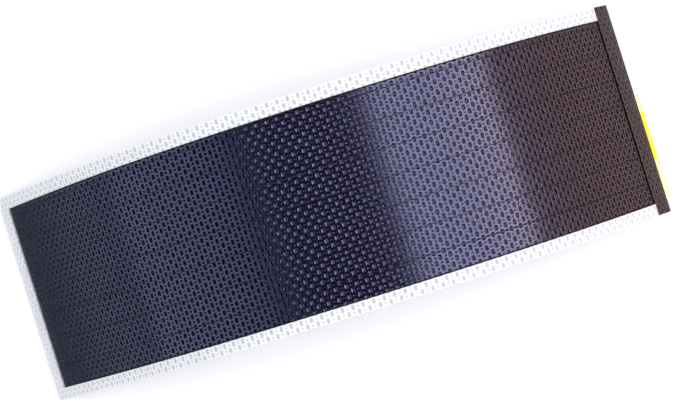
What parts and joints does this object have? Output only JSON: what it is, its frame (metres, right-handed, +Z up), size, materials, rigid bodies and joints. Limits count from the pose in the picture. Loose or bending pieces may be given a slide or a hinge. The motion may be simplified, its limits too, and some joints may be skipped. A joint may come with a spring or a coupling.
{
  "type": "flexible solar sheet",
  "caption": "Thin flexible solar sheet standing as an arch: embossed clear film over a dark cell on steel foil, fine grid wires, and a black bus strip with yellow tape at one end.",
  "frame": {"origin": "centre of the footprint, on the surface that the two short ends stand on", "axes": "+X along the span of the arch towards the bus bar end, +Y across the sheet, +Z up"},
  "size_m": [0.1954, 0.064, 0.0683],
  "materials": {
    "clear_film": "clear fluoropolymer film with a plain-weave emboss",
    "encapsulant": "clear encapsulant, frosted where it shows in the margins",
    "grid_wire": "carbon-coated wire",
    "cell_coating": "dark blue to purple interference coating, glossy",
    "steel_foil": "rolled foil",
    "back_sheet": "satin white back sheet",
    "yellow_tape": "yellow insulating tape",
    "copper": "bare copper strip",
    "solder": "dull solder and conductive paste",
    "black_strip": "matt black strip"
  },
  "bodies": {
    "left_outer": {"front_film_left_outer": "clear_film", "front_encapsulant_left_outer": "encapsulant", "grid_wires_left_outer": "grid_wire", "active_layer_left_outer": "cell_coating", "steel_foil_left_outer": "steel_foil", "rear_encapsulant_left_outer": "encapsulant", "back_sheet_left_outer": "back_sheet"},
    "left_inner": {"front_film_left_inner": "clear_film", "front_encapsulant_left_inner": "encapsulant", "grid_wires_left_inner": "grid_wire", "active_layer_left_inner": "cell_coating", "steel_foil_left_inner": "steel_foil", "rear_encapsulant_left_inner": "encapsulant", "back_sheet_left_inner": "back_sheet"},
    "crown": {"front_film_crown": "clear_film", "front_encapsulant_crown": "encapsulant", "grid_wires_crown": "grid_wire", "active_layer_crown": "cell_coating", "steel_foil_crown": "steel_foil", "rear_encapsulant_crown": "encapsulant", "back_sheet_crown": "back_sheet"},
    "right_inner": {"front_film_right_inner": "clear_film", "front_encapsulant_right_inner": "encapsulant", "grid_wires_right_inner": "grid_wire", "active_layer_right_inner": "cell_coating", "steel_foil_right_inner": "steel_foil", "rear_encapsulant_right_inner": "encapsulant", "back_sheet_right_inner": "back_sheet"},
    "right_outer": {"front_film_right_outer": "clear_film", "front_encapsulant_right_outer": "encapsulant", "grid_wires_right_outer": "grid_wire", "active_layer_right_outer": "cell_coating", "steel_foil_right_outer": "steel_foil", "rear_encapsulant_right_outer": "encapsulant", "back_sheet_right_outer": "back_sheet", "bus_insulating_tape": "yellow_tape", "bus_bar": "copper", "wire_bond_beads": "solder", "bus_cover_strip": "black_strip", "positive_ribbon": "copper", "positive_pad": "solder", "edge_wrap_tape": "yellow_tape", "rear_insulating_tape": "yellow_tape", "negative_ribbon": "copper", "negative_weld_spots": "steel_foil", "negative_pad": "solder"}
  },
  "joints": [
    {"name": "flex_left_inner", "type": "hinge", "parent": "crown", "child": "left_inner", "pos_m": [-0.02341, 0, 0.06423], "axis": [0, -1, 0], "range_deg": [-45, 25], "stiffness_Nm_per_rad": 0.15},
    {"name": "flex_left_outer", "type": "hinge", "parent": "left_inner", "child": "left_outer", "pos_m": [-0.06604, 0, 0.03929], "axis": [0, -1, 0], "range_deg": [-45, 25], "stiffness_Nm_per_rad": 0.15},
    {"name": "flex_right_inner", "type": "hinge", "parent": "crown", "child": "right_inner", "pos_m": [0.02612, 0, 0.06537], "axis": [0, 1, 0], "range_deg": [-45, 25], "stiffness_Nm_per_rad": 0.15},
    {"name": "flex_right_outer", "type": "hinge", "parent": "right_inner", "child": "right_outer", "pos_m": [0.06914, 0, 0.04135], "axis": [0, 1, 0], "range_deg": [-45, 25], "stiffness_Nm_per_rad": 0.15}
  ]
}
